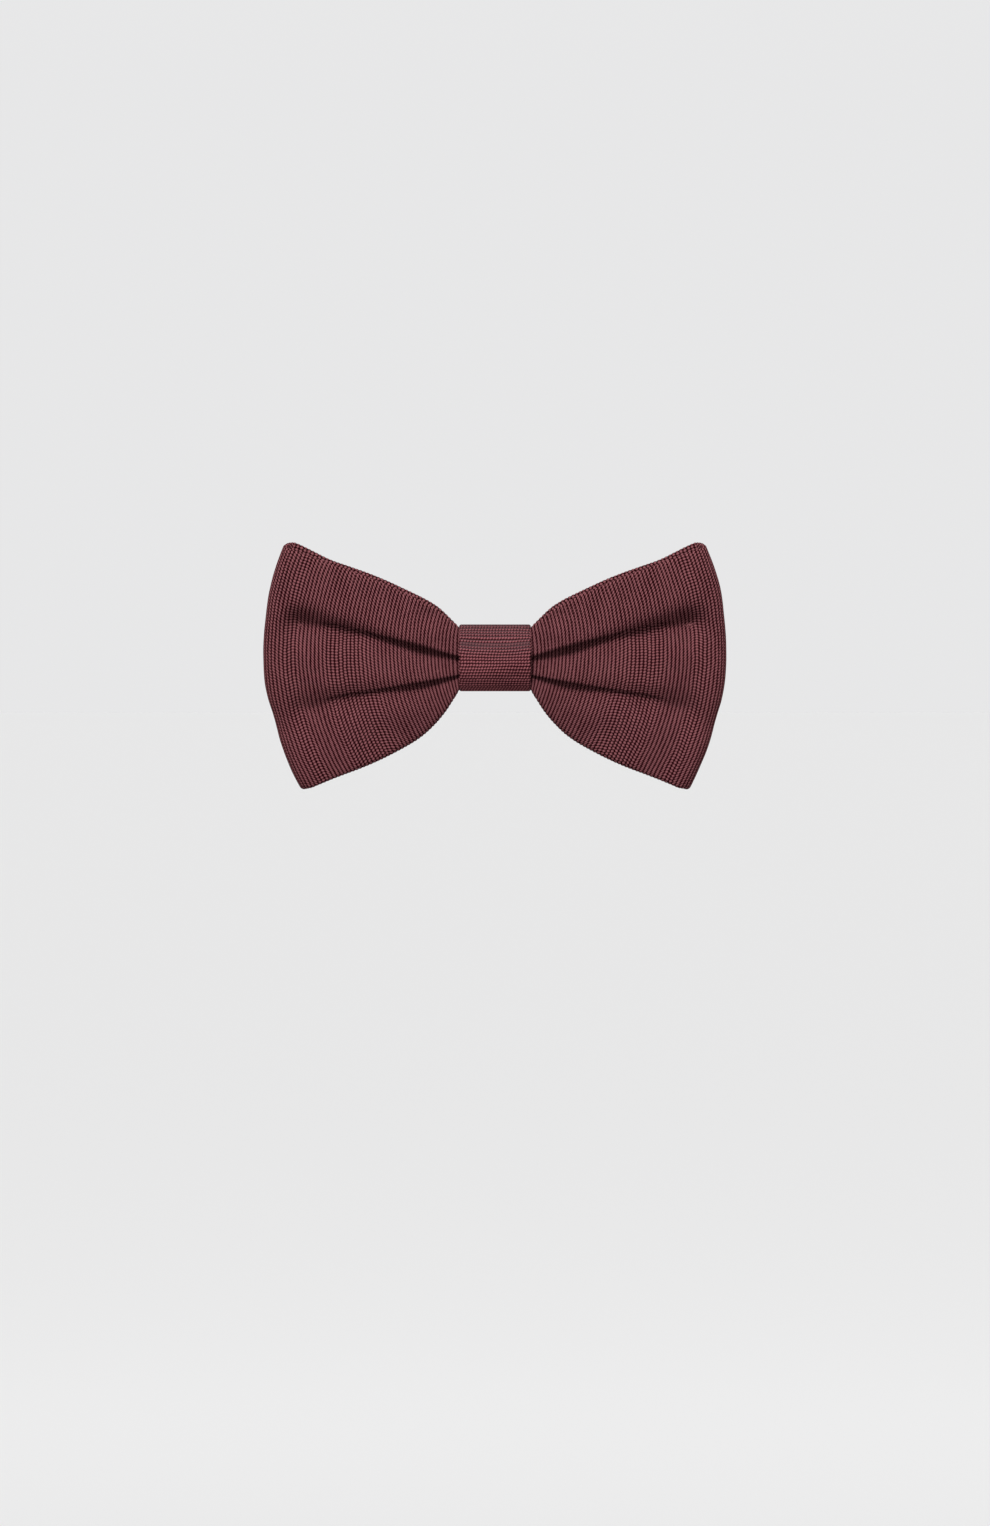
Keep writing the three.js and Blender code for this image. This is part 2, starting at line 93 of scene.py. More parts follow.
# soft dents of the front layer: x, z, half width, half height, depth (below 0 it stands proud)
FRONT_DENTS = [
    (16.0, 11.2, 3.2, 2.6, 1.3),       # dimple above the pleats beside the knot
    (16.5, 6.4, 5.0, 2.4, -0.6),       # swelling under it
    (52.8, 7.2, 4.6, 5.2, 2.0),        # where the upper pleat runs out
    (47.0, 14.5, 7.0, 3.2, -0.35),     # swelling over it
    (52.5, -17.5, 5.5, 4.5, 1.1),      # under the end of the lower pleat
    (21.0, -22.0, 7.0, 7.0, 2.0),      # inner side of the lower lobe
    (34.0, -15.0, 10.0, 3.5, -0.4),    # swelling of the lower lobe
]

# ---- columns of vertices round one layer of a wing ----
LOBE_COLUMNS = 18
MIDDLE_COLUMNS = 14
ARC_COLUMNS = 5
STRAIGHT_COLUMNS = 3
EDGE_COLUMNS = 5
INNER_COLUMNS = 30
PLEAT_COLUMNS = 2 * ARC_COLUMNS + STRAIGHT_COLUMNS - 1

# ---- knot, mm ----
KNOT_W, KNOT_H = 18.8, 17.5
RIB_ROOM = 0.12       # kept free for the ribs above and below
WRAP_LENGTH = 60.0    # once round the knot
WRAP_EDGE = 0.45      # radius of the wrap's folded side edges
WRAP_SEAM_Z = -4.6    # of the seam that closes the wrap at the back
STITCH_R = 0.15       # of the sewing thread
SEAM_STITCHES = 13
SEAM_WIDTH = 14.0     # from the first stitch to the last

# ---- neckband, mm and degrees ----
BAND_H, BAND_T = 14.0, 1.2
TAIL_T = 1.05         # of the strap's tail
BAND_FRONT_Y = -1.9   # of the band's middle behind the knot
BAND_STRAIGHT = 11.0  # half of its straight stretch there
FRONT_R = 46.0        # of the bends beside the knot
NECK_R = 57.0         # of the arc round the neck
NECK_Y = 70.0         # of that arc's centre
TURN_R = 1.55         # of the turns round hook bar and eye bar
HOOK_BAR_AT = -10.0   # places on the arc, from the nape
SLIDER_AT = -42.0
EYE_BAR_X = 9.1
TAIL_N, LEG_N = -4.1, -1.5      # of the tail before and after its turn, from the arc
EYE_END_N = -2.75     # of the sewn down end at the eye, from the arc
TACK_HEIGHT = 10.0    # of the bar tacks
TACK_TURNS = 46
TACK_LIFT = 0.62      # of a tack above the middle of its strap

# ---- floor and camera, m ----
FRAME_HEIGHT = 0.4044           # of the view at the bow
DISTANCE = 1.5
BOW_DEPTH = 0.011               # of the bow's front, where the view's height is measured
SHIFT_Y = -0.0691               # of the view, which holds the bow above its middle
SENSOR = 36.0                   # mm
FLOOR_Z = -0.6
FLOOR_HALF = 60.0
LIGHT_SPREAD = 70               # degrees


# =====================================================================
# helpers

def smooth(t):
    """Eased step from 0 to 1."""
    t = np.clip(t, 0.0, 1.0)
    return t * t * (3 - 2 * t)


def eased(value, start, end):
    """0 up to start and 1 from end on, eased between them; start may be the larger one."""
    return smooth((value - start) / (end - start))


def lerp(a, b, t):
    """Straight blend from a (t = 0) to b (t = 1)."""
    return a + (b - a) * t


def edge_curve(points):
    """Smooth curve through the points; returns f(share of its length) -> (x, z)."""
    p = np.array(points, float)
    p = np.vstack([2 * p[0] - p[1], p, 2 * p[-1] - p[-2]])
    out = []
    for k in range(1, len(p) - 2):
        t = np.linspace(0, 1, 30, endpoint=False)[:, None]
        a, b, c, d = p[k - 1], p[k], p[k + 1], p[k + 2]
        out.append(0.5 * (2 * b + (c - a) * t + (2 * a - 5 * b + 4 * c - d) * t ** 2
                          + (3 * b - a - 3 * c + d) * t ** 3))
    line = np.vstack(out + [p[-2][None]])
    at = np.concatenate([[0], np.cumsum(np.linalg.norm(np.diff(line, axis=0), axis=1))])
    at /= at[-1]
    return lambda s: (np.interp(s, at, line[:, 0]), np.interp(s, at, line[:, 1]))


def waves(u, v, scale, count=7):
    """Soft repeatable noise of about +-1 over mm coordinates, from seeded sine waves."""
    total = np.zeros(np.broadcast(u, v).shape)
    for _ in range(count):
        angle = rng.uniform(0, math.tau)
        freq = math.tau / scale * rng.uniform(0.6, 1.5)
        total += np.sin(freq * (np.cos(angle) * u + np.sin(angle) * v) + rng.uniform(0, math.tau))
    return total / math.sqrt(count)


def rib_profile(phase):
    """Height of a rib, -1 to 1: a rounded ridge and a narrower valley."""
    return 2 * np.abs(np.cos(math.pi * phase)) ** 0.8 - 1


def grid_normals(P):
    """Unit normals of a grid of points whose second direction closes on itself."""
    du = np.gradient(P, axis=0)
    dv = (np.roll(P, -1, axis=1) - np.roll(P, 1, axis=1)) / 2
    n = np.cross(du, dv)
    return n / np.maximum(np.linalg.norm(n, axis=2, keepdims=True), 1e-9)


def grid_object(name, P, attributes, close_u=False, flip=False):
    """Mesh of a grid of points in mm whose second direction closes on itself.
    Where the first direction doesn't close, its two ends are capped."""
    nu, nv = P.shape[:2]
    idx = np.arange(nu * nv).reshape(nu, nv)
    nxt = np.roll(idx, -1, axis=1)
    if close_u:
        a, b = idx, np.roll(idx, -1, axis=0)
        an, bn = nxt, np.roll(nxt, -1, axis=0)
    else:
        a, b, an, bn = idx[:-1], idx[1:], nxt[:-1], nxt[1:]
    quads = np.stack([a, b, bn, an], axis=-1).reshape(-1, 4)
    if flip:
        quads = quads[:, ::-1]
    faces = quads.tolist()
    if not close_u:
        first, last = idx[0].tolist(), idx[-1].tolist()
        faces.append(first if not flip else first[::-1])
        faces.append(last[::-1] if not flip else last)
    mesh = bpy.data.meshes.new(name)
    mesh.from_pydata((P.reshape(-1, 3) * MM).tolist(), [], faces)
    mesh.update()
    for key, values in attributes.items():
        layer = mesh.attributes.new(key, "FLOAT", "POINT")
        values = np.broadcast_to(values, (nu, nv)).astype(np.float32)
        layer.data.foreach_set("value", values.ravel())
    mesh.polygons.foreach_set("use_smooth", [True] * len(mesh.polygons))
    obj = bpy.data.objects.new(name, mesh)
    bpy.context.scene.collection.objects.link(obj)
    return obj


# =====================================================================
# materials

def node(tree, kind, **settings):
    """New shader node with its input values and settings."""
    n = tree.nodes.new(kind)
    for key, value in settings.items():
        if key in n.inputs:
            n.inputs[key].default_value = value
        else:
            setattr(n, key, value)
    return n


def new_material(name):
    """Material with a plain surface shader; returns it with its tree and shader."""
    m = bpy.data.materials.new(name)
    m.use_nodes = True
    tree = m.node_tree
    tree.nodes.clear()
    out = tree.nodes.new("ShaderNodeOutputMaterial")
    bsdf = tree.nodes.new("ShaderNodeBsdfPrincipled")
    tree.links.new(bsdf.outputs[0], out.inputs[0])
    return m, tree, bsdf


def math_node(tree, operation, a, b=None):
    """Output of a maths node over sockets or numbers."""
    n = tree.nodes.new("ShaderNodeMath")
    n.operation = operation
    for socket, value in zip(n.inputs, (a, b)):
        if value is None:
            continue
        if isinstance(value, (int, float)):
            socket.default_value = value
        else:
            tree.links.new(value, socket)
    return n.outputs[0]


def silk_material(name, ridge_highlight, valley_shade, top_shade_sheen=None):
    """Ribbed silk: painted highlight on the ridges and painted shade in the valleys by the rib attribute,
    with thread beads on them.
    Faces that look up are mixed towards a darker, greyer colour given last: painted shade with a painted
    sheen."""
    m, tree, bsdf = new_material(name)
    link = tree.links.new
    rib = node(tree, "ShaderNodeAttribute", attribute_name="rib").outputs["Fac"]
    warp = node(tree, "ShaderNodeAttribute", attribute_name="warp").outputs["Fac"]

    # height across a rib, 0 in the valley and 1 on the ridge
    half_turns = math_node(tree, "MULTIPLY", rib, math.pi)
    ridge_wave = math_node(tree, "ABSOLUTE", math_node(tree, "COSINE", half_turns))

    def cloth_noise(per_rib, per_mm, detail, roughness):
        """Noise in the cloth's own coordinates."""
        place = tree.nodes.new("ShaderNodeCombineXYZ")
        link(math_node(tree, "MULTIPLY", rib, per_rib), place.inputs[0])
        link(math_node(tree, "MULTIPLY", warp, per_mm), place.inputs[1])
        noise = node(tree, "ShaderNodeTexNoise", Scale=1.0, Detail=detail, Roughness=roughness)
        link(place.outputs[0], noise.inputs["Vector"])
        return noise.outputs["Fac"]

    # uneven threads, and broad soft differences of tone
    streak = cloth_noise(2.0, 3.2, 2.0, 0.6)
    cloudy = cloth_noise(0.22, 0.10, 3.0, 0.55)

    # each rib is a row of slanted beads, with its own start
    cell = math_node(tree, "FLOOR", math_node(tree, "ADD", rib, 0.5))
    start = node(tree, "ShaderNodeTexWhiteNoise", noise_dimensions="1D")
    link(cell, start.inputs["W"])
    across = math_node(tree, "SUBTRACT", rib, cell)
    along = math_node(tree, "ADD", math_node(tree, "MULTIPLY", warp, 1 / BEAD),
                      math_node(tree, "MULTIPLY", across, BEAD_SLANT))
    along = math_node(tree, "ADD", along, start.outputs["Value"])
    thread = math_node(tree, "SINE", math_node(tree, "MULTIPLY", along, math.tau))

    def spread(value, amount):
        return math_node(tree, "MULTIPLY", math_node(tree, "SUBTRACT", value, 0.5), amount)

    level = math_node(tree, "ADD", ridge_wave, spread(streak, 0.9))
    level = math_node(tree, "ADD", level, spread(cloudy, 0.35))
    level = math_node(tree, "ADD", level, math_node(tree, "MULTIPLY", thread, 0.36))

    # colour from valley to ridge: painted shade in the rib valleys, painted highlight on the ridge tops
    ramp = tree.nodes.new("ShaderNodeValToRGB")
    ramp.color_ramp.elements[0].position = 0.30
    ramp.color_ramp.elements[0].color = (*valley_shade, 1)
    ramp.color_ramp.elements[1].position = 1.0
    ramp.color_ramp.elements[1].color = (*ridge_highlight, 1)
    mid = ramp.color_ramp.elements.new(0.76)
    mid.color = (*[lerp(v, r, 0.38) for v, r in zip(valley_shade, ridge_highlight)], 1)
    link(level, ramp.inputs[0])
    if top_shade_sheen is None:
        link(ramp.outputs[0], bsdf.inputs["Base Color"])
    else:
        # painted shade and a greyish painted sheen on faces that look up, mixed in by the normal
        facing = tree.nodes.new("ShaderNodeSeparateXYZ")
        link(tree.nodes.new("ShaderNodeNewGeometry").outputs["Normal"], facing.inputs[0])
        upward = node(tree, "ShaderNodeMapRange", interpolation_type="SMOOTHSTEP")
        upward.inputs["From Min"].default_value = 0.2
        upward.inputs["From Max"].default_value = 0.6
        upward.inputs["To Max"].default_value = 0.7
        link(facing.outputs["Z"], upward.inputs["Value"])
        shade_sheen_mix = node(tree, "ShaderNodeMix", data_type="RGBA")
        link(upward.outputs[0], shade_sheen_mix.inputs[0])
        link(ramp.outputs[0], shade_sheen_mix.inputs[6])
        shade_sheen_mix.inputs[7].default_value = (*top_shade_sheen, 1)
        link(shade_sheen_mix.outputs[2], bsdf.inputs["Base Color"])

    rough = node(tree, "ShaderNodeMapRange")
    rough.inputs["To Min"].default_value = 0.72
    rough.inputs["To Max"].default_value = 0.46
    link(level, rough.inputs["Value"])
    link(rough.outputs[0], bsdf.inputs["Roughness"])

    height = math_node(tree, "ADD", math_node(tree, "MULTIPLY", thread, 0.5),
                       math_node(tree, "MULTIPLY", streak, 1.4))
    bumper = node(tree, "ShaderNodeBump", Strength=0.25, Distance=0.00008)
    link(height, bumper.inputs["Height"])
    link(bumper.outputs[0], bsdf.inputs["Normal"])
    bsdf.inputs["Specular IOR Level"].default_value = 0.0
    return m


def thread_material(name, light, dark):
    """Twisted sewing thread."""
    m, tree, bsdf = new_material(name)
    link = tree.links.new
    where = node(tree, "ShaderNodeTexCoord").outputs["Object"]
    twist = node(tree, "ShaderNodeTexWave", Scale=700.0, Distortion=1.5, bands_direction="DIAGONAL")
    link(where, twist.inputs["Vector"])
    ramp = tree.nodes.new("ShaderNodeValToRGB")
    ramp.color_ramp.elements[0].color = (*dark, 1)
    ramp.color_ramp.elements[1].color = (*light, 1)
    link(twist.outputs["Fac"], ramp.inputs[0])
    link(ramp.outputs[0], bsdf.inputs["Base Color"])
    bumper = node(tree, "ShaderNodeBump", Strength=0.6, Distance=0.0001)
    link(twist.outputs["Fac"], bumper.inputs["Height"])
    link(bumper.outputs[0], bsdf.inputs["Normal"])
    bsdf.inputs["Roughness"].default_value = 0.55
    return m


def nickel_material(name):
    """Nickel plated stamping: bright, with faint drawing lines and small scuffs."""
    m, tree, bsdf = new_material(name)
    link = tree.links.new
    where = node(tree, "ShaderNodeTexCoord").outputs["Object"]
    scuff = node(tree, "ShaderNodeTexNoise", Scale=260.0, Detail=5.0, Roughness=0.65)
    link(where, scuff.inputs["Vector"])
    stretched = node(tree, "ShaderNodeMapping")
    stretched.inputs["Scale"].default_value = (120, 2500, 2500)
    link(where, stretched.inputs["Vector"])
    lines = node(tree, "ShaderNodeTexNoise", Scale=1.0, Detail=2.0, Roughness=0.5)
    link(stretched.outputs[0], lines.inputs["Vector"])
    ramp = tree.nodes.new("ShaderNodeValToRGB")
    ramp.color_ramp.elements[0].position = 0.3
    ramp.color_ramp.elements[0].color = (0.36, 0.355, 0.34, 1)
    ramp.color_ramp.elements[1].position = 0.62
    ramp.color_ramp.elements[1].color = (0.52, 0.515, 0.50, 1)
    link(scuff.outputs["Fac"], ramp.inputs[0])
    link(ramp.outputs[0], bsdf.inputs["Base Color"])
    rough = node(tree, "ShaderNodeMapRange")
    rough.inputs["From Min"].default_value = 0.3
    rough.inputs["From Max"].default_value = 0.7
    rough.inputs["To Min"].default_value = 0.17
    rough.inputs["To Max"].default_value = 0.36
    link(scuff.outputs["Fac"], rough.inputs["Value"])
    link(rough.outputs[0], bsdf.inputs["Roughness"])
    bumper = node(tree, "ShaderNodeBump", Strength=0.15, Distance=0.00002)
    link(lines.outputs["Fac"], bumper.inputs["Height"])
    link(bumper.outputs[0], bsdf.inputs["Normal"])
    bsdf.inputs["Metallic"].default_value = 1.0
    return m


# painted highlight on the rib tops and painted shade in the rib valleys; the silk's own red lies between
# them
RIDGE_HIGHLIGHT = (0.113, 0.0405, 0.0450)
VALLEY_SHADE = (0.0070, 0.0005, 0.0009)
KNOT_RIDGE_HIGHLIGHT = (0.150, 0.0500, 0.0560)
KNOT_VALLEY_SHADE = (0.015, 0.0020, 0.0030)
# painted shade with a greyish painted sheen for the knot's upward faces
KNOT_TOP_SHADE_SHEEN = (0.030, 0.0178, 0.0195)
THREAD_LIGHT = (0.16, 0.045, 0.052)
THREAD_DARK = (0.05, 0.012, 0.016)
SILK = silk_material("ribbed_silk", RIDGE_HIGHLIGHT, VALLEY_SHADE)
KNOT_SILK = silk_material("ribbed_silk_knot", KNOT_RIDGE_HIGHLIGHT, KNOT_VALLEY_SHADE, top_shade_sheen=KNOT_TOP_SHADE_SHEEN)
BAND_SILK = silk_material("ribbed_silk_band", RIDGE_HIGHLIGHT, VALLEY_SHADE)
THREAD = thread_material("sewing_thread", THREAD_LIGHT, THREAD_DARK)
NICKEL = nickel_material("nickel_plate")


# =====================================================================
# wings

top_edge = edge_curve(TOP_EDGE)
bottom_edge = edge_curve(BOTTOM_EDGE)


def roll_off(t):
    """1 at a free edge (t = 0), falling to 0 one roll width away, like a quarter round."""
    t = np.clip(t, 0.0, 1.0)
    return 1 - np.sqrt(1 - (1 - t) ** 2)


def pleat(y_front, y_back, z_edge, depth, opened):
    """One knife pleat at an edge height: the S that the cloth makes from one lobe to the next,
    opened out towards the wing's end into a soft step. Returns the height where the lobe before
    it ends, its points (z, y) and the height where the next lobe starts."""
    gap = np.maximum(y_back - y_front, 0.02)
    radius = gap / 4
    zs, ys = [], []
    for k in range(ARC_COLUMNS):
        a = math.pi * k / (ARC_COLUMNS - 1)
        zs.append(z_edge + radius - radius * math.sin(a))
        ys.append(y_front + radius * (1 - math.cos(a)))
    for k in range(1, STRAIGHT_COLUMNS + 1):
        zs.append(z_edge + radius + depth * k / STRAIGHT_COLUMNS)
        ys.append(y_front + 2 * radius)
    for k in range(1, ARC_COLUMNS):
        a = math.pi * k / (ARC_COLUMNS - 1)
        zs.append(z_edge + radius + depth + radius * math.sin(a))
        ys.append(y_front + radius * (3 - math.cos(a)))
    for k in range(PLEAT_COLUMNS):
        p = k / (PLEAT_COLUMNS - 1)
        zs[k] = lerp(zs[k], z_edge + lerp(1.0, -3.2, p), opened)
        ys[k] = lerp(ys[k], y_front + gap * p * p * (3 - 2 * p), opened)
    return zs[0], zs, ys, zs[-1]


def section(s, heights, first_level, step, saw, tucks):
    """Outer face of one layer from its first lobe to its last: columns of z and y, by station s.
    Each lobe stands proud at its free edge and tucks under the one before it."""
    z_top, z_upper, z_lower, z_bottom = heights
    opened = eased(s, 0.45, 0.87)
    levels = [first_level, first_level + step, first_level + (1 + SECOND_STEP) * step]
    # the cloth under each free edge sinks away from it near the knot
    sink = 0.4 * step * eased(s, 0, 0.25) * eased(s, 0.62, 0.27)
    # each free edge rolls back a little before it turns under
    roll = 0.35 * (step + 2 * saw) * eased(s, 0.2, 0.5)

    upper_start, upper_z, upper_y, middle_start = pleat(
        levels[0] - saw + roll, levels[1] + saw, z_upper, tucks[0], opened)
    lower_start, lower_z, lower_y, last_start = pleat(
        levels[1] - saw + roll, levels[2] + saw, z_lower, tucks[1], opened)

    zs, ys = [], []
    for k in range(LOBE_COLUMNS):
        p = k / LOBE_COLUMNS
        z = lerp(z_top, upper_start, p)
        zs.append(z)
        ys.append(levels[0] - saw * p ** 1.5 + roll * roll_off((z - upper_start) / ROLL_WIDTH))
    zs += upper_z
    ys += upper_y
    for k in range(1, MIDDLE_COLUMNS):
        z = lerp(middle_start, lower_start, k / MIDDLE_COLUMNS)
        shown = np.clip((z_upper - z) / (z_upper - z_lower), 0, 1)
        groove = sink * np.exp(-((z_upper - z) / SINK_WIDTH) ** 2)
        rolled = roll * roll_off((z - lower_start) / ROLL_WIDTH)
        zs.append(z)
        ys.append(levels[1] + saw * (1 - 2 * smooth(shown)) + rolled + groove)
    zs += lower_z
    ys += lower_y
    for k in range(1, LOBE_COLUMNS + 1):
        z = lerp(last_start, z_bottom, k / LOBE_COLUMNS)
        shown = np.clip((z_lower - z) / (z_lower - z_bottom), 0, 1)
        groove = 0.4 * sink * np.exp(-((z_lower - z) / SINK_WIDTH) ** 2)
        zs.append(z)
        ys.append(levels[2] + saw * (1 - smooth(shown * 1.6)) + groove)
    return np.stack(zs, axis=1), np.stack(ys, axis=1)


def inner_face(s, heights, first_level, step, saw, tucks):
    """The layer's face towards the inside of the loop, behind every hidden fold."""
    z_top, z_upper, z_lower, z_bottom = heights
    clearance, slope = 2.5, 2.0
    zs, ys = [], []
    for k in range(INNER_COLUMNS):
        z = lerp(z_bottom, z_top, k / (INNER_COLUMNS - 1))
        y = first_level + lerp(GATHERED_T, STRIP_T, eased(s, 0, 0.25))
        y = y + (step + saw) * smooth((z_upper + tucks[0] + clearance - z) / slope)
        y = y + SECOND_STEP * step * smooth((z_lower + tucks[1] + clearance - z) / slope)
        zs.append(z)
        ys.append(y)
    return np.stack(zs, axis=1), np.stack(ys, axis=1)


def rim(z0, y0, z1, y1, sign):
    """Rounded edge between the two faces of a layer; sign is 1 at the top and -1 at the bottom."""
    zs, ys = [], []
    for k in range(1, EDGE_COLUMNS + 1):
        a = math.pi * k / (EDGE_COLUMNS + 1)
        c = (1 - math.cos(a)) / 2
        zs.append(lerp(z0, z1, c) + sign * math.sin(a) * np.abs(y1 - y0) * 0.5)
        ys.append(lerp(y0, y1, c))
    return np.stack(zs, axis=1), np.stack(ys, axis=1)


def layer_columns(s, front):
    """Closed ring of columns of one layer: outer face, bottom edge, inner face, top edge."""
    (xt, zt), (xb, zb) = top_edge(s), bottom_edge(s)
    along = s ** 0.95
    z_upper = lerp(*UPPER_PLEAT_Z, along)
    z_lower = lerp(*LOWER_PLEAT_Z, along)
    fade = np.maximum(1 - s, 0) ** 0.9
    # a quarter of the cloth that the wing's height leaves over: two tucks, each folded double
    spare = np.clip((STRIP_W - (zt - zb) - 1.5) / 4, 0.3, 12.5)
    if front:
        step = FRONT_STEP * fade * lerp(0.55, 1, eased(s, 0, 0.3))
        saw = 0.3 + 0.9 * np.sin(math.pi * np.clip(s / 0.9, 0, 1)) ** 0.8 * (1 - 0.5 * s)
        saw = saw * eased(s, 0.97, 0.67)
        first = lerp(*FRONT_FACE_Y, smooth(s))
        args = (s, (zt, z_upper, z_lower, zb), first, step, saw,
                [np.minimum(spare, most) for most in FRONT_TUCKS])
        z, y = section(*args)
        zi, yi = inner_face(*args)
    else:
        step = BACK_STEP * fade
        saw = 0.12 + 0.3 * np.sin(math.pi * np.clip(s / 0.92, 0, 1)) ** 0.9
        saw = saw * eased(s, 0.97, 0.67)
        # built as if seen from behind, upside down: its lowest lobe is the outermost one
        first = -lerp(*BACK_FACE_Y, smooth(s))
        args = (s, (-zb, -z_lower, -z_upper, -zt), first, step, saw,
                [np.minimum(spare, most) for most in BACK_TUCKS])
        z, y = section(*args)
        zi, yi = inner_face(*args)
        z, y, zi, yi = -z[:, ::-1], -y[:, ::-1], -zi[:, ::-1], -yi[:, ::-1]
    bz, by = rim(z[:, -1], y[:, -1], zi[:, 0], yi[:, 0], -1)
    tz, ty = rim(zi[:, -1], yi[:, -1], z[:, 0], y[:, 0], 1)
    Z = np.concatenate([z, bz, zi, tz], axis=1)
    Y = np.concatenate([y, by, yi, ty], axis=1)
    h = (Z - zb[:, None]) / (zt - zb)[:, None]
    v = 2 * h - 1
    bulge = TIP_BULGE * (1 - np.clip(v, -1.1, 1.1) ** 2)
    X = lerp(xb[:, None], xt[:, None], h) + bulge * s[:, None] ** 0.6
    crown = 1.1 * np.clip(v, -1.1, 1.1) ** 2 * s[:, None]
    Y = Y + (crown if front else crown * 0.6)
    if front:
        # past the end of each pleat the cloth keeps a soft hollow
        open_end = (eased(s, 0.42, 0.72) * eased(s, 1.0, 0.88))[:, None]
        for line, depth in zip((z_upper, z_lower), HOLLOW_DEPTHS):
            off = (Z - line[:, None] + HOLLOW_DROP) / HOLLOW_WIDTH
            Y = Y + depth * open_end * np.exp(-off ** 2)
    else:
        rise = BACK_RISE * eased(s, 0, 1 / 6) + TIP_RISE * eased(s, 0.75, 1)
        Z = Z + rise[:, None] * smooth(v / 2 + 0.6)
    return np.stack([X, Y, Z], axis=2)


def dent(P, x, z, size_x, size_z, amount):
    """Soft hollow (amount > 0 goes back) in the wing's surface round a point."""
    d = ((P[..., 0] - x) / size_x) ** 2 + ((P[..., 2] - z) / size_z) ** 2
    P[..., 1] += amount * np.exp(-d)


def wing(name, mirror):
    """One wing: front layer, outer fold and back layer as one cloth; mirror is 1 right, -1 left."""
    rows = int(WING_LENGTH / RIB * SAMPLES)
    s_front = np.linspace(0, 1, rows)
    s_back = s_front[::-1]
    front = layer_columns(s_front, True)
    back = layer_columns(s_back, False)
    outer_columns = 2 * LOBE_COLUMNS + MIDDLE_COLUMNS - 1 + 2 * PLEAT_COLUMNS
    total = front.shape[1]

    for one in FRONT_DENTS:
        dent(front, *one)
    front[..., 1] += 0.10 * waves(front[..., 0], front[..., 2], 16) * eased(s_front[:, None], 0, 0.2)
    back[..., 1] += 0.14 * waves(back[..., 0], back[..., 2], 16) * eased(s_back[:, None], 0, 0.2)

    # outer fold: half turns that join the two layers
    last, first = front[-1], back[0]
    out = last - front[-8]
    out[:, 1] = 0
    out[:, 2] *= 0.4
    out /= np.maximum(np.linalg.norm(out, axis=1, keepdims=True), 1e-9)
    reach = np.abs(first[:, 1] - last[:, 1]) / 2
    fold_length = math.pi * FOLD_R
    fold_rows = int(fold_length / RIB * SAMPLES)
    fold = []
    for k in range(1, fold_rows):
        a = math.pi * k / fold_rows
        c = (1 - math.cos(a)) / 2
        fold.append(lerp(last, first, c) + out * (reach * math.sin(a))[:, None])
    P = np.concatenate([front, np.array(fold), back])

    # mm along the cloth, by row
    m = np.concatenate([s_front * WING_LENGTH,
                        WING_LENGTH + fold_length * np.arange(1, fold_rows) / fold_rows,
                        WING_LENGTH + fold_length + (1 - s_back) * WING_LENGTH])
    # the ring of columns starts inside the loop, where its seam doesn't show
    turn = INNER_COLUMNS // 2 + EDGE_COLUMNS
    P = np.roll(P, turn, axis=1)
    is_outer = np.roll(np.arange(total) < outer_columns, turn)
    step = np.linalg.norm(np.diff(P, axis=1), axis=2)
    warp = np.concatenate([np.zeros((len(P), 1)), np.cumsum(step, axis=1)], axis=1)
    phase = m[:, None] / RIB + 0.05 * waves(m[:, None], warp, 9) + 0.03 * waves(m[:, None], warp, 2.2)

    # normals point out of the cloth: on the front layer's face that is away from the neck
    N = grid_normals(P)
    sample = N[rows // 2, turn + LOBE_COLUMNS // 2]
    if sample[1] > 0:
        N = -N
    height = RIB_HEIGHT * (1 + 0.12 * waves(m[:, None], warp, 5))
    quiet = np.where(is_outer, 1.0, 0.7)[None, :]
    ends = eased(np.minimum(m, m[-1] - m), 0, 1.5)[:, None]
    P = P + N * (rib_profile(phase) * height * quiet * ends)[..., None]
    P[..., 0] *= mirror
    obj = grid_object(name, P, {"rib": phase, "warp": warp}, flip=mirror < 0)
    obj.data.materials.append(SILK)
    return obj


# =====================================================================
# knot

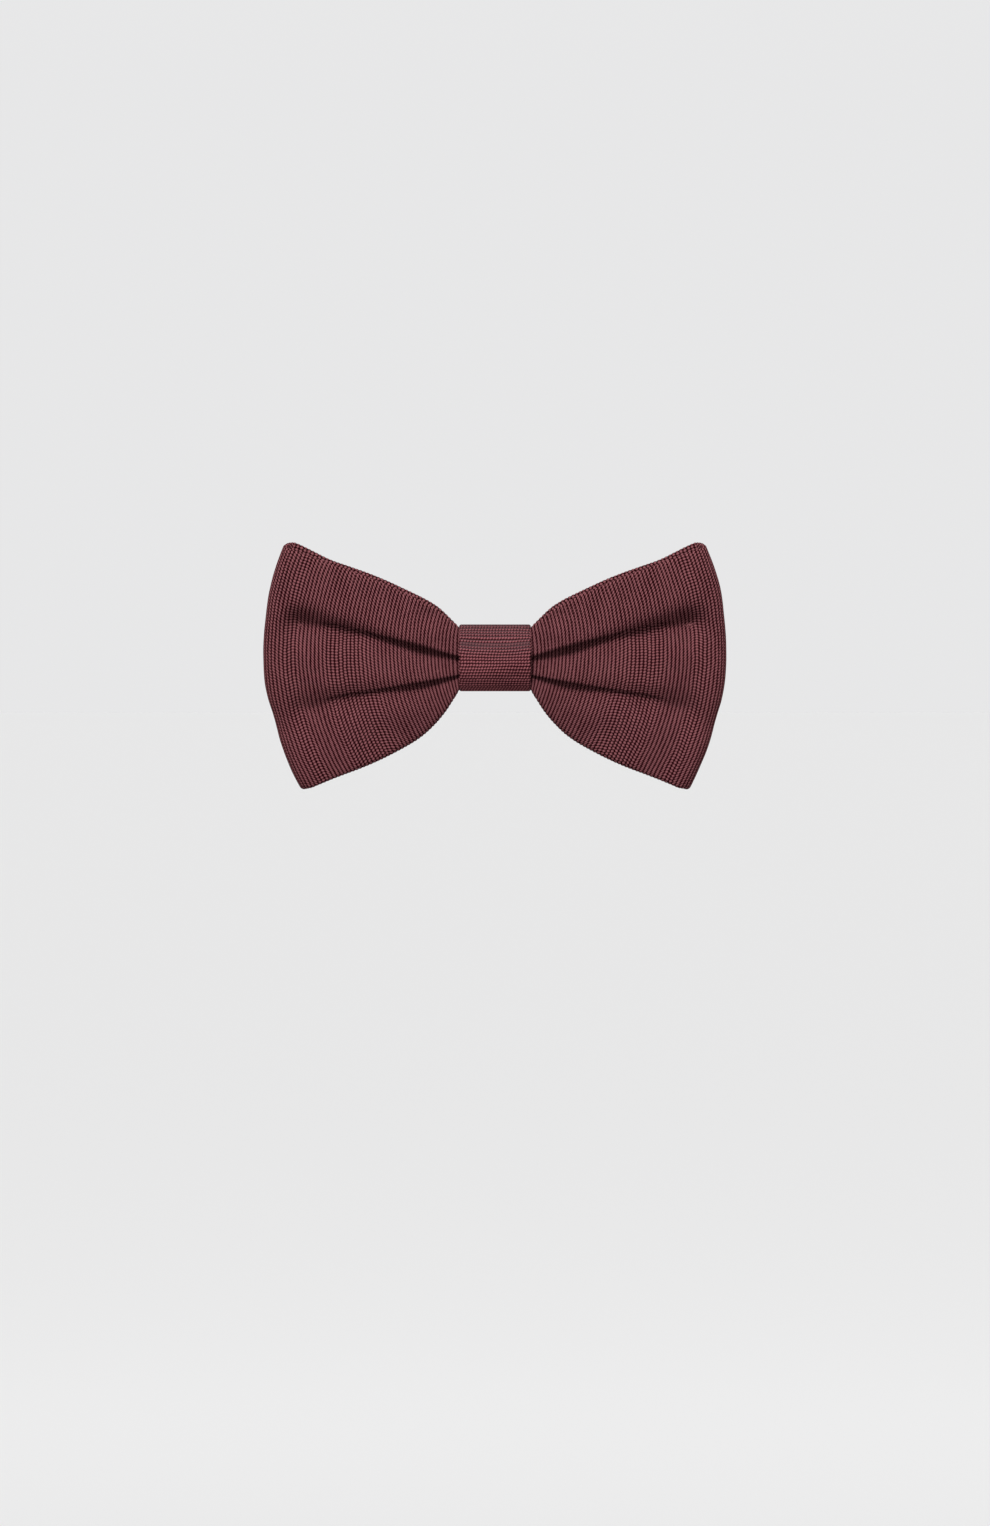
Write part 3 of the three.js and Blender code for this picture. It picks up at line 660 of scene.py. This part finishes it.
def knot():
    """Sleeve of the same cloth with its ribs across the bow, creased a third of the way down."""
    count = int(WRAP_LENGTH / KNOT_RIB)
    rows = count * KNOT_SAMPLES
    t = np.arange(rows) / rows
    half = KNOT_H / 2 - RIB_ROOM
    corner = 1.6
    # closed outline (y, z), from the stitched seam at the back over the top to the front and under
    points = [(-0.1, WRAP_SEAM_Z), (-0.1, half - corner), (-0.35, half - 0.5), (-1.4, half),
              (-6, half + 0.05), (-10.4, half), (-11.5, half - 0.4), (-12.5, half - 1.6),
              (-13.9, 5.2), (-15.2, 3.4), (-15.6, 2.3), (-15.65, 0.6), (-15.4, -1.4), (-14.8, -3.6),
              (-13.5, -5.7), (-11.7, -7.5), (-10.0, -half + 0.05), (-8.2, -half - 0.2),
              (-5, -half - 0.15), (-1.4, -half), (-0.35, -half + 0.5), (-0.1, -half + corner),
              (-0.1, WRAP_SEAM_Z - 0.001)]
    cy, cz = edge_curve(points)(t)
    outline = np.stack([cy, cz], axis=1)
    tangent = np.roll(outline, -1, axis=0) - np.roll(outline, 1, axis=0)
    tangent /= np.linalg.norm(tangent, axis=1, keepdims=True)
    outward = np.stack([tangent[:, 1], -tangent[:, 0]], axis=1)
    if outward[0, 0] < 0:
        outward = -outward

    # columns across: outer face, folded side edge, inner face, the other edge
    w, edge = KNOT_W / 2, WRAP_EDGE
    outer_count, inner_count, turn_count = 27, 12, 5
    turn = math.pi * np.arange(1, turn_count + 1) / (turn_count + 1)
    xs = np.concatenate([np.linspace(-w + edge, w - edge, outer_count), w - edge + edge * np.sin(turn),
                         np.linspace(w - edge, -w + edge, inner_count), -w + edge - edge * np.sin(turn)])
    inset = np.concatenate([np.zeros(outer_count), edge * (1 - np.cos(turn)),
                            np.full(inner_count, 2 * edge), edge * (1 + np.cos(turn))])
    X = np.broadcast_to(xs[None, :], (rows, len(xs))).copy()
    Y = cy[:, None] - outward[:, 0:1] * inset[None, :]
    Z = cz[:, None] - outward[:, 1:2] * inset[None, :]

    # the crease and the ribs near it dip in the middle, and the cloth is nipped above it
    crease_z, crease_width, crease_dip = 3.0, 2.6, 0.6
    nip_z, nip_width, nip_depth = 4.3, 1.2, 0.55
    is_front = eased(cy, -13.2, -14.2)[:, None]
    sag = 1 - (X / w) ** 2
    Z = Z - crease_dip * sag * is_front * np.exp(-((cz[:, None] - crease_z) / crease_width) ** 2)
    Y = Y + nip_depth * is_front * np.exp(-((cz[:, None] - nip_z) / nip_width) ** 2)
    Y = Y + 0.12 * waves(X, cz[:, None], 9) * is_front
    P = np.stack([X, Y, Z], axis=2)

    c = (t * WRAP_LENGTH)[:, None]
    phase = t[:, None] * count + 0.06 * waves(X, c, 8) + 0.03 * waves(X, c, 2.4)
    du = np.roll(P, -1, axis=0) - np.roll(P, 1, axis=0)
    dv = np.roll(P, -1, axis=1) - np.roll(P, 1, axis=1)
    N = np.cross(du, dv)
    N /= np.maximum(np.linalg.norm(N, axis=2, keepdims=True), 1e-9)
    back_middle = N[2, outer_count // 2]
    if back_middle[1] < 0:
        N = -N
    # the ribs are pressed flat where the knot rests on the collar
    free = eased(cy, -0.4, -1.2)[:, None]
    P = P + N * (rib_profile(phase) * KNOT_RIB_HEIGHT * (0.25 + 0.75 * free))[..., None]
    obj = grid_object("knot_cloth", P, {"rib": phase, "warp": X + 20}, close_u=True)
    obj.data.materials.append(KNOT_SILK)
    return obj


# =====================================================================
# neckband and straps

def round_back(deg, n=0.0):
    """Point (x, y) on the arc round the neck, deg from the nape and n mm outside the arc."""
    a = np.radians(deg)
    return np.stack([(NECK_R + n) * np.sin(a), NECK_Y + (NECK_R + n) * np.cos(a)], axis=-1)


def turn_points(cx, cy, start, end, radius=TURN_R, count=14):
    """Points of a turn round a bar at (cx, cy), between two angles in degrees."""
    a = np.radians(np.linspace(start, end, count))
    return np.stack([cx + radius * np.cos(a), cy + radius * np.sin(a)], axis=-1)


def along_and_out(deg):
    """Directions along the arc and out of it, at deg from the nape."""
    a = math.radians(deg)
    return np.array([math.cos(a), -math.sin(a)]), np.array([math.sin(a), math.cos(a)])


def resample(points, pitch):
    """Even steps along a path of points."""
    points = np.array(points)
    at = np.concatenate([[0], np.cumsum(np.linalg.norm(np.diff(points, axis=0), axis=1))])
    count = int(at[-1] / pitch)
    where = np.linspace(0, at[-1], count + 1)
    return np.stack([np.interp(where, at, points[:, k]) for k in range(2)], axis=1), where


def strap(name, path, thickness=BAND_T):
    """Flat sewn strap along a plan path, with rounded long edges and ribs across it."""
    line, m = resample(path, RIB / BAND_SAMPLES)
    tangent = np.gradient(line, axis=0)
    tangent /= np.linalg.norm(tangent, axis=1, keepdims=True)
    normal = np.stack([-tangent[:, 1], tangent[:, 0]], axis=1)

    # ring of columns (n, z): one face, top edge, the other face, bottom edge
    r = thickness / 2
    flat = BAND_H / 2 - r
    face_count, edge_count = 8, 4
    across = np.linspace(-flat, flat, face_count)
    turn = math.pi * np.arange(1, edge_count + 1) / (edge_count + 1)
    ring = np.vstack([np.stack([np.full(face_count, r), across], axis=1),
                      np.stack([r * np.cos(turn), flat + r * np.sin(turn)], axis=1),
                      np.stack([np.full(face_count, -r), -across], axis=1),
                      np.stack([-r * np.cos(turn), -flat - r * np.sin(turn)], axis=1)])
    length = np.hypot(*np.diff(np.vstack([ring, ring[:1]]), axis=0).T)
    warp = np.concatenate([[0], np.cumsum(length)[:-1]])
    phase = m[:, None] / RIB + 0.04 * waves(m[:, None], warp[None, :], 7)

    # ribs lift the faces outwards and the edges up and down
    out_n = np.clip(ring[:, 0] / r, -1, 1)
    out_z = np.clip((np.abs(ring[:, 1]) - flat) / r, 0, 1) * np.sign(ring[:, 1])
    lift = rib_profile(phase) * BAND_RIB_HEIGHT
    n = ring[None, :, 0] + lift * out_n[None, :]
    z = ring[None, :, 1] + lift * out_z[None, :]
    z = z + 0.05 * waves(m, m * 0, 30)[:, None]
    x, y = (line[:, None, k] + normal[:, None, k] * n for k in range(2))
    P = np.stack([x, y, z], axis=2)
    warp = np.broadcast_to(warp[None, :], phase.shape)
    obj = grid_object(name, P, {"rib": phase, "warp": warp}, flip=True)
    obj.data.materials.append(BAND_SILK)
    return obj


quarter = np.radians(np.linspace(0, 90, 40))
right_front = np.stack([BAND_STRAIGHT + FRONT_R * np.sin(quarter),
                        BAND_FRONT_Y + FRONT_R - FRONT_R * np.cos(quarter)], axis=-1)
left_front = right_front * [-1, 1]
hook_bar = round_back(HOOK_BAR_AT)
hook_tangent = -HOOK_BAR_AT
eye_tangent = math.degrees(math.asin(EYE_BAR_X / NECK_R))

hook_turn = turn_points(hook_bar[0], hook_bar[1], 90 + hook_tangent, -90 + hook_tangent)
back_along = -along_and_out(HOOK_BAR_AT)[0]
left_path = np.vstack([
    [[-0.1, BAND_FRONT_Y]],
    left_front,
    round_back(np.linspace(-90, HOOK_BAR_AT - 5, 90)),
    hook_turn,
    [hook_turn[-1] + back_along * 2.6],
])
right_path = np.vstack([
    [[0.1, BAND_FRONT_Y]],
    right_front,
    round_back(np.linspace(90, eye_tangent + 5, 90)),
    turn_points(EYE_BAR_X, hook_bar[1], 90 - eye_tangent, 270 - eye_tangent),
    round_back(np.linspace(eye_tangent + 4, eye_tangent + 15, 12), EYE_END_N),
])


def at_slider(x, n):
    """Point x mm along and n mm outside the arc from the slider's middle."""
    along, out = along_and_out(SLIDER_AT)
    return round_back(SLIDER_AT) + x * along + n * out


# the tail runs back under the strap, turns round the slider's middle bar and ends there
tail_arc = np.linspace(HOOK_BAR_AT - 9, SLIDER_AT + 4, 30)
tail_turn_r = (LEG_N - TAIL_N) / 2
tail_path = np.vstack([
    [hook_turn[-1] + back_along * 2.95],
    [round_back(a, lerp(-3.35, TAIL_N, (tail_arc[0] - a) / (tail_arc[0] - tail_arc[-1]))) for a in tail_arc],
    [at_slider(0.2, TAIL_N)],
    [at_slider(-0.5 + tail_turn_r * math.cos(a), (TAIL_N + LEG_N) / 2 + tail_turn_r * math.sin(a))
     for a in np.radians(np.linspace(-90, -270, 14))],
    [at_slider(3.6, LEG_N)],
])


# =====================================================================
# threads

def stitch(points, radius, sides=6):
    """Closed tube of thread along points in mm; returns vertices and faces."""
    points = np.array(points, float)
    t = np.gradient(points, axis=0)
    t /= np.linalg.norm(t, axis=1, keepdims=True)
    reference = np.array([0.0, 0.0, 1.0]) if abs(t[0, 2]) < 0.8 else np.array([1.0, 0, 0])
    u = np.cross(t, reference)
    u /= np.linalg.norm(u, axis=1, keepdims=True)
    w = np.cross(t, u)
    verts, faces = [], []
    n = len(points)
    for i in range(n):
        end_radius = radius * (0.45 if i in (0, n - 1) else 1.0)
        for k in range(sides):
            a = math.tau * k / sides
            verts.append(points[i] + end_radius * (math.cos(a) * u[i] + math.sin(a) * w[i]))
    for i in range(n - 1):
        for k in range(sides):
            k2 = (k + 1) % sides
            here, after = i * sides, (i + 1) * sides
            faces.append((here + k, after + k, after + k2, here + k2))
    faces.append(tuple(range(sides)))
    faces.append(tuple(reversed(range((n - 1) * sides, n * sides))))
    return verts, faces


def thread_object(name, runs, radius):
    """One object of sewing thread along one or more runs of points in mm."""
    verts, faces = [], []
    for run in runs:
        v, f = stitch(run, radius)
        base = len(verts)
        verts += [p * MM for p in v]
        faces += [tuple(i + base for i in face) for face in f]
    mesh = bpy.data.meshes.new(name)
    mesh.from_pydata([tuple(p) for p in verts], [], faces)
    mesh.polygons.foreach_set("use_smooth", [True] * len(mesh.polygons))
    obj = bpy.data.objects.new(name, mesh)
    bpy.context.scene.collection.objects.link(obj)
    mesh.materials.append(THREAD)
    return obj


# =====================================================================
# build

left_wing = wing("left_wing_cloth", -1)
right_wing = wing("right_wing_cloth", 1)
knot_cloth = knot()
left_band = strap("neckband_left_cloth", left_path)
right_band = strap("neckband_right_cloth", right_path)
tail_cloth = strap("strap_tail_cloth", tail_path, thickness=TAIL_T)

# whip stitches that close the wrap at the back: each dives in below the seam and comes out above it
WHIP = [(-0.45, -0.35, -0.35), (-0.3, -0.05, -0.25), (0, 0.05, 0), (0.3, -0.05, 0.25), (0.45, -0.35, 0.35)]
closing = []
for x in np.linspace(-SEAM_WIDTH / 2, SEAM_WIDTH / 2, SEAM_STITCHES):
    closing.append([(x + dx, y, WRAP_SEAM_Z + dz) for dx, y, dz in WHIP])
closing_stitch = thread_object("wrap_stitches", closing, STITCH_R)


def placed_tack(name, centre, deg, width):
    """Bar tack as a close zigzag, on the inside of the strap at deg on the arc."""
    along, out = (np.array([*direction, 0.0]) for direction in along_and_out(deg))
    centre = np.array([*centre, 0.0])
    run = []
    for k in range(TACK_TURNS):
        x = width / 2 * (1 if k % 2 else -1)
        z = lerp(-TACK_HEIGHT / 2, TACK_HEIGHT / 2, k / (TACK_TURNS - 1))
        run.append(centre + along * x + np.array([0, 0, z]) - out * (0.06 if k % 2 else 0.0))
    return thread_object(name, [run], STITCH_R)


eye_tack_at = eye_tangent + 10
tail_tack = placed_tack("tail_tack_thread", at_slider(2.5, TAIL_N - TACK_LIFT), SLIDER_AT, 1.6)
eye_tack = placed_tack("eye_tack_thread", round_back(eye_tack_at, EYE_END_N - TACK_LIFT), eye_tack_at, 3.0)

# CAD nodes that stay: metal, hidden gathers and binding
for name in ("clasp_hook", "clasp_eye", "length_slider"):
    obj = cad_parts[name]
    obj.data.materials.clear()
    obj.data.materials.append(NICKEL)
    bevel = obj.modifiers.new("edges", "BEVEL")
    bevel.width = 0.00022
    bevel.segments = 3
    bevel.limit_method = "ANGLE"
    bevel.angle_limit = math.radians(35)
for name, material in (("pleat_core", SILK), ("gather_binding", THREAD)):
    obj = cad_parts[name]
    obj.data.materials.clear()
    obj.data.materials.append(material)

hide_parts("left_wing_shell", "left_wing_interlining")
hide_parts("right_wing_shell", "right_wing_interlining")
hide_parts("knot_wrap", "knot_interlining")
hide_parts("wrap_closing_stitch")
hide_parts("neckband_shell", "neckband_interlining", "strap_end_shell", "strap_end_interlining")
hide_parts("fixed_end_shell", "fixed_end_interlining")
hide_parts("strap_tail")
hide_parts("tail_bar_tack")
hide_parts("eye_loop_tack")

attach(knot_cloth, "bow_core")
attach(closing_stitch, "bow_core")
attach(tail_tack, "slider")
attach(eye_tack, "eye_end")
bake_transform(left_wing)
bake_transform(right_wing)


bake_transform(left_band)
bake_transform(right_band)
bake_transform(tail_cloth)


# =====================================================================
# stage, light, camera

def floor_material():
    """Pale floor, painted darker near its middle: painted shade that offsets the light the lamps throw
    there.
    """
    m, tree, bsdf = new_material("pale_floor")
    where = node(tree, "ShaderNodeTexCoord").outputs["Object"]
    away = node(tree, "ShaderNodeVectorMath", operation="LENGTH")
    tree.links.new(where, away.inputs[0])
    far = node(tree, "ShaderNodeMapRange", interpolation_type="SMOOTHSTEP")
    far.inputs["From Min"].default_value = 0.5
    far.inputs["From Max"].default_value = 3.2
    tree.links.new(away.outputs["Value"], far.inputs["Value"])
    # painted shade near the middle, paler further out, against the lamps' light on the near floor
    ramp = tree.nodes.new("ShaderNodeValToRGB")
    ramp.color_ramp.elements[0].color = (0.56, 0.56, 0.56, 1)
    ramp.color_ramp.elements[1].color = (0.86, 0.86, 0.86, 1)
    tree.links.new(far.outputs[0], ramp.inputs[0])
    tree.links.new(ramp.outputs[0], bsdf.inputs["Base Color"])
    bsdf.inputs["Roughness"].default_value = 0.9
    return m


mesh = bpy.data.meshes.new("floor")
signs = [(-1, -1), (1, -1), (1, 1), (-1, 1)]
mesh.from_pydata([(x * FLOOR_HALF, y * FLOOR_HALF, FLOOR_Z) for x, y in signs], [], [(0, 1, 2, 3)])
mesh.materials.append(floor_material())
floor = bpy.data.objects.new("floor", mesh)
bpy.context.scene.collection.objects.link(floor)

# soft studio surroundings, brighter overhead than at the horizon
world = bpy.data.worlds.new("studio")
world.use_nodes = True
sky = world.node_tree
direction = node(sky, "ShaderNodeTexCoord").outputs["Generated"]
split = sky.nodes.new("ShaderNodeSeparateXYZ")
sky.links.new(direction, split.inputs[0])
shade = sky.nodes.new("ShaderNodeValToRGB")
shade.color_ramp.elements[0].position = 0.1
shade.color_ramp.elements[0].color = (0.80, 0.80, 0.805, 1)
shade.color_ramp.elements[1].color = (1.0, 1.0, 1.0, 1)
sky.links.new(split.outputs["Z"], shade.inputs[0])
sky.links.new(shade.outputs[0], sky.nodes["Background"].inputs[0])
bpy.context.scene.world = world


def area_light(name, place, target, size, energy):
    """Square soft light in m and W, turned to its target."""
    data = bpy.data.lights.new(name, "AREA")
    data.shape = "SQUARE"
    data.size = size
    data.energy = energy
    data.spread = math.radians(LIGHT_SPREAD)
    obj = bpy.data.objects.new(name, data)
    bpy.context.scene.collection.objects.link(obj)
    obj.location = place
    obj.rotation_euler = (Vector(target) - Vector(place)).to_track_quat("-Z", "Y").to_euler()


area_light("key", (-0.25, -1.2, 1.1), (0, 0, 0), 0.5, 8.8)
area_light("fill", (1.6, -1.3, 0.4), (0, 0, 0), 1.0, 0.8)
area_light("rear", (0.4, 1.6, 1.0), (0, 0.05, 0), 0.8, 3.0)

camera = bpy.data.objects.new("camera", bpy.data.cameras.new("camera"))
bpy.context.scene.collection.objects.link(camera)
camera.location = (0, -DISTANCE, 0)
camera.rotation_euler = (math.radians(90), 0, 0)
camera.data.lens = SENSOR * (DISTANCE - BOW_DEPTH) / FRAME_HEIGHT
camera.data.shift_y = SHIFT_Y
camera.data.clip_start = 0.01
bpy.context.scene.camera = camera
bpy.context.scene.view_settings.view_transform = "Standard"
